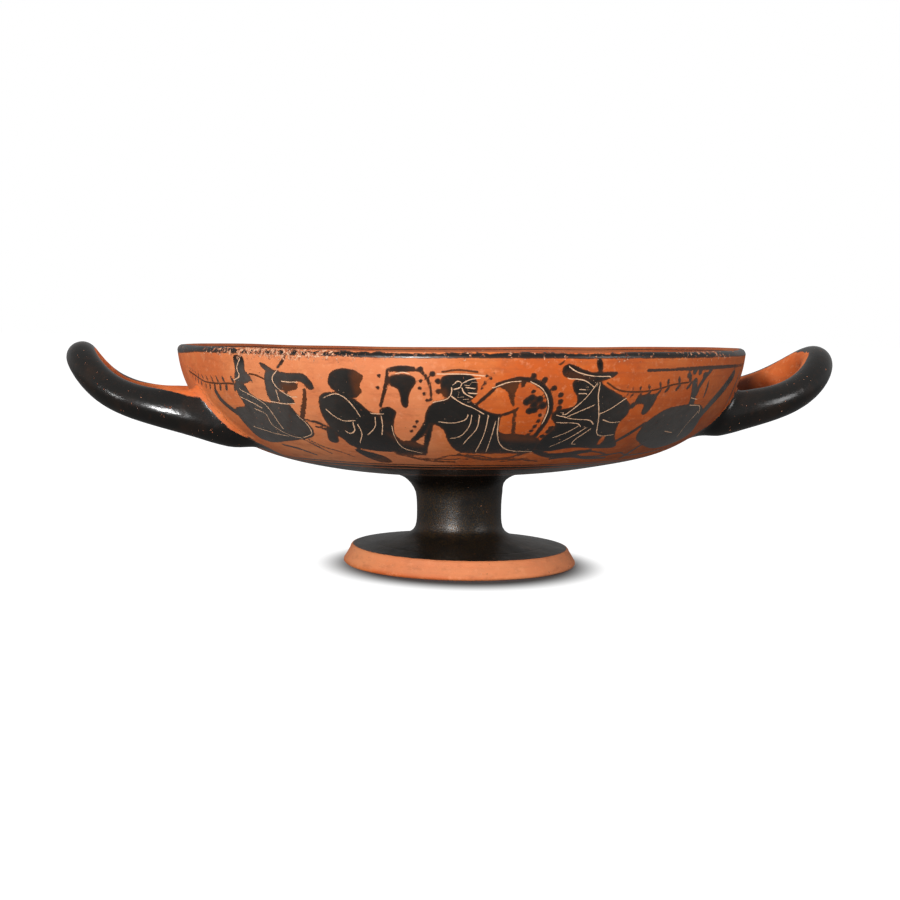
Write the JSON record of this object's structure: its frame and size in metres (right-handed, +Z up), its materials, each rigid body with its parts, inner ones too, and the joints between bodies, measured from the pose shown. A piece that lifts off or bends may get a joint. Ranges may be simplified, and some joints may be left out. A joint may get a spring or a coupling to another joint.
{
  "type": "kylix cup",
  "caption": "Wide shallow drinking cup of painted fired clay on a stemmed disc foot, with upswept horseshoe handles and a painted frieze.",
  "frame": {"origin": "on the table under the middle of the foot", "axes": "+Z up along the axis of the bowl, handles along X, the front of the painted frieze towards -Y"},
  "size_m": [0.272, 0.1988, 0.0775],
  "materials": {
    "painted_clay": "orange fired clay with a painted black gloss, semi-glossy and worn"
  },
  "bodies": {
    "root": {"kylix": "painted_clay"}
  },
  "joints": []
}
